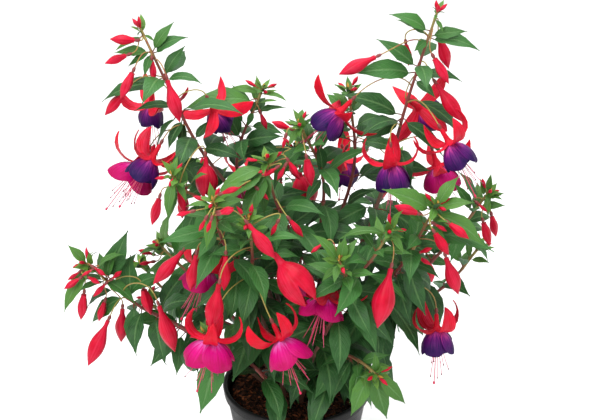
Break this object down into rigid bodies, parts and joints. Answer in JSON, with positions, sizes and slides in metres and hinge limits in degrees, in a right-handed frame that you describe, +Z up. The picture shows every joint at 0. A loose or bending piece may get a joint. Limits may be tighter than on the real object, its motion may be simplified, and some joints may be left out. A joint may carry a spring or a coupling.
{
  "type": "potted fuchsia",
  "caption": "Bushy fuchsia in a tapered plastic pot, with leafy stems, hanging red buds and red and purple bell blooms.",
  "frame": {"origin": "centre of the flat underside of the pot", "axes": "+Z up, -Y towards the front of the picture, +X to the right seen from the front"},
  "size_m": [0.3915, 0.2942, 0.4893],
  "materials": {
    "pot": "thin black nursery pot plastic",
    "soil": "dark brown bark compost",
    "foliage": "dark green leaves, reddish stems, red buds",
    "sepals": "waxy bright red sepals and tube, pink stamens",
    "violet_petals": "dark violet petals",
    "magenta_petals": "magenta purple petals",
    "buds": "waxy red closed buds"
  },
  "bodies": {
    "root": {"pot": "pot", "soil": "soil", "left_leader": "foliage", "right_leader": "foliage", "right_mid": "foliage", "left_mid": "foliage", "centre": "foliage", "front_left": "foliage", "front_centre": "foliage", "right_arm": "foliage", "far_right": "foliage", "low_right": "foliage", "far_left": "foliage", "left_low": "foliage", "front_low": "foliage", "back_left": "foliage", "back_right": "foliage", "back_centre": "foliage", "bloom_01_calyx": "sepals", "bloom_01_corolla": "violet_petals", "bloom_02_calyx": "sepals", "bloom_02_corolla": "violet_petals", "bloom_03_calyx": "sepals", "bloom_03_corolla": "violet_petals", "bloom_04_calyx": "sepals", "bloom_04_corolla": "magenta_petals", "bloom_06_calyx": "sepals", "bloom_06_corolla": "violet_petals", "bloom_07_calyx": "sepals", "bloom_07_corolla": "violet_petals", "bloom_08_calyx": "sepals", "bloom_08_corolla": "violet_petals", "bloom_09_calyx": "sepals", "bloom_09_corolla": "violet_petals", "bloom_10_calyx": "sepals", "bloom_10_corolla": "magenta_petals", "bloom_13_calyx": "sepals", "bloom_13_corolla": "magenta_petals", "bloom_14_calyx": "sepals", "bloom_14_corolla": "magenta_petals", "bloom_15_calyx": "sepals", "bloom_15_corolla": "magenta_petals", "bloom_17_calyx": "sepals", "bloom_17_corolla": "magenta_petals", "bloom_18_calyx": "sepals", "bloom_18_corolla": "violet_petals", "bloom_19_calyx": "sepals", "bloom_19_corolla": "magenta_petals", "bloom_20_calyx": "sepals", "bloom_20_corolla": "violet_petals", "bloom_05": "buds", "bloom_11": "buds", "bloom_12": "buds", "bloom_16": "buds", "bloom_21": "buds", "bud_01": "buds", "bud_02": "buds", "bud_03": "buds", "bud_04": "buds", "bud_05": "buds"}
  },
  "joints": []
}
